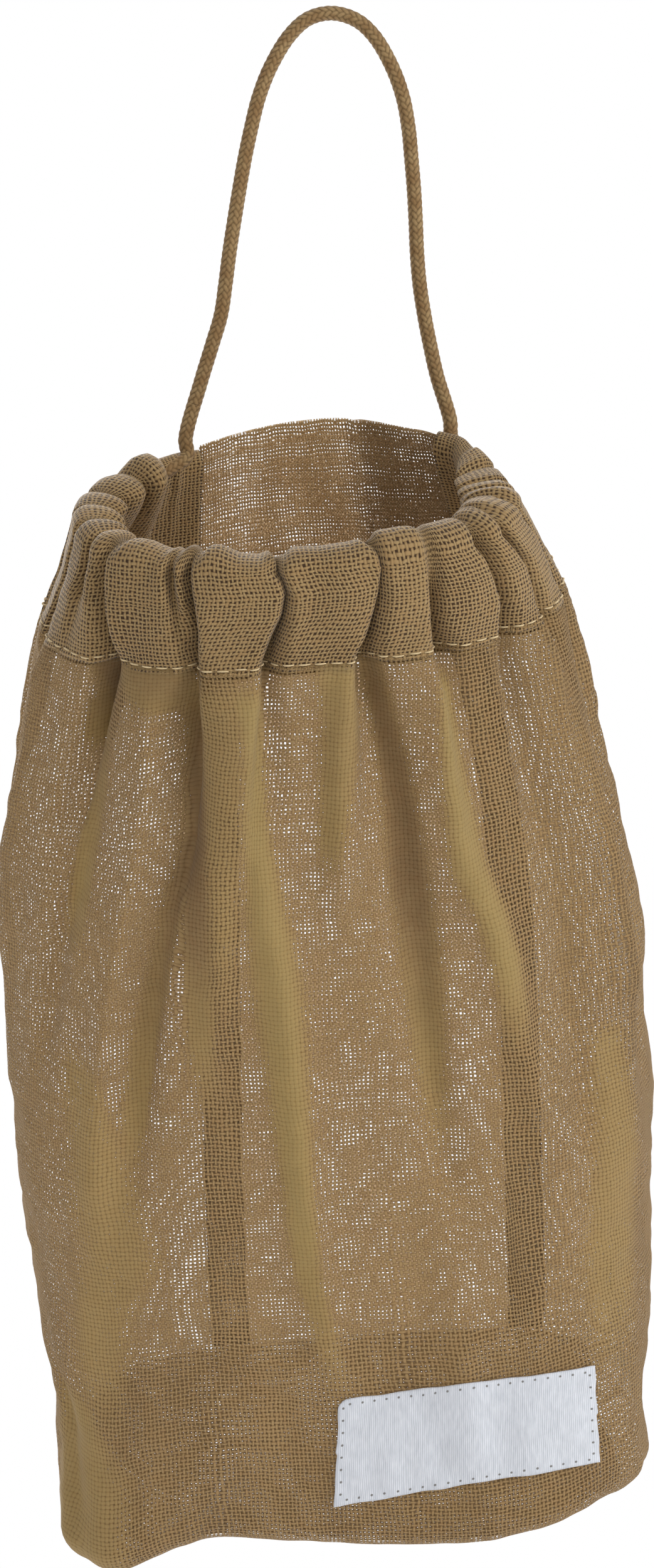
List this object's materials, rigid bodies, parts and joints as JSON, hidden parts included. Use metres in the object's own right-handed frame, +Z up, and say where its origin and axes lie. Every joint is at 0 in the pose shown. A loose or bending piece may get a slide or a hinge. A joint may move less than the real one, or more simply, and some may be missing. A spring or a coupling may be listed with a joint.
{
  "type": "produce bag",
  "caption": "Small produce bag of sheer plain-woven cloth with a gathered casing and a drawstring loop that it hangs open from.",
  "frame": {"origin": "underside of the drawstring loop at its top, where the bag hangs on a hook or peg", "axes": "+Z up as the bag hangs, +X across its mouth to the right as seen from the label's side, +Y towards its back"},
  "size_m": [0.1539, 0.1574, 0.3581],
  "materials": {
    "sheer_cloth": "sheer plain weave",
    "hem_cloth": "plain weave, folded double",
    "cord": "braided cotton",
    "label_tape": "ribbed woven tape",
    "thread": "sewing thread"
  },
  "bodies": {
    "handle_loop": {"drawstring_loop": "cord"},
    "cord_exits": {"cord_neck_left": "cord", "cord_neck_right": "cord"},
    "bag": {"front_panel": "sheer_cloth", "back_panel": "sheer_cloth", "base_panel": "sheer_cloth", "seam_left": "hem_cloth", "seam_right": "hem_cloth", "back_hem": "hem_cloth", "label": "label_tape", "casing_end_left": "hem_cloth", "casing_left": "hem_cloth", "casing_right": "hem_cloth", "casing_end_right": "hem_cloth", "cord_bend_left": "cord", "cord_bend_right": "cord", "cord_side_left": "cord", "cord_side_right": "cord"},
    "front_hem": {"casing_front": "hem_cloth", "cord_front": "cord", "cord_join": "thread"}
  },
  "joints": [
    {"name": "drawstring_pull", "type": "slide", "parent": "handle_loop", "child": "cord_exits", "axis": [0, 0, -1], "range_m": [0, 0.04]},
    {"name": "handle_swing", "type": "hinge", "parent": "cord_exits", "child": "bag", "pos_m": [-0.00326, 0.00004, -0.09506], "axis": [0.9976, 0, 0.0698], "range_deg": [-100, 65]},
    {"name": "mouth_cinch", "type": "slide", "parent": "bag", "child": "front_hem", "axis": [-0.0239, 0.9397, 0.3412], "range_m": [0, 0.04], "deforming": ["casing_left", "casing_right", "cord_side_left", "cord_side_right"]}
  ],
  "couplings": [
    {"joint": "mouth_cinch", "follows": "drawstring_pull", "ratio": 1}
  ]
}
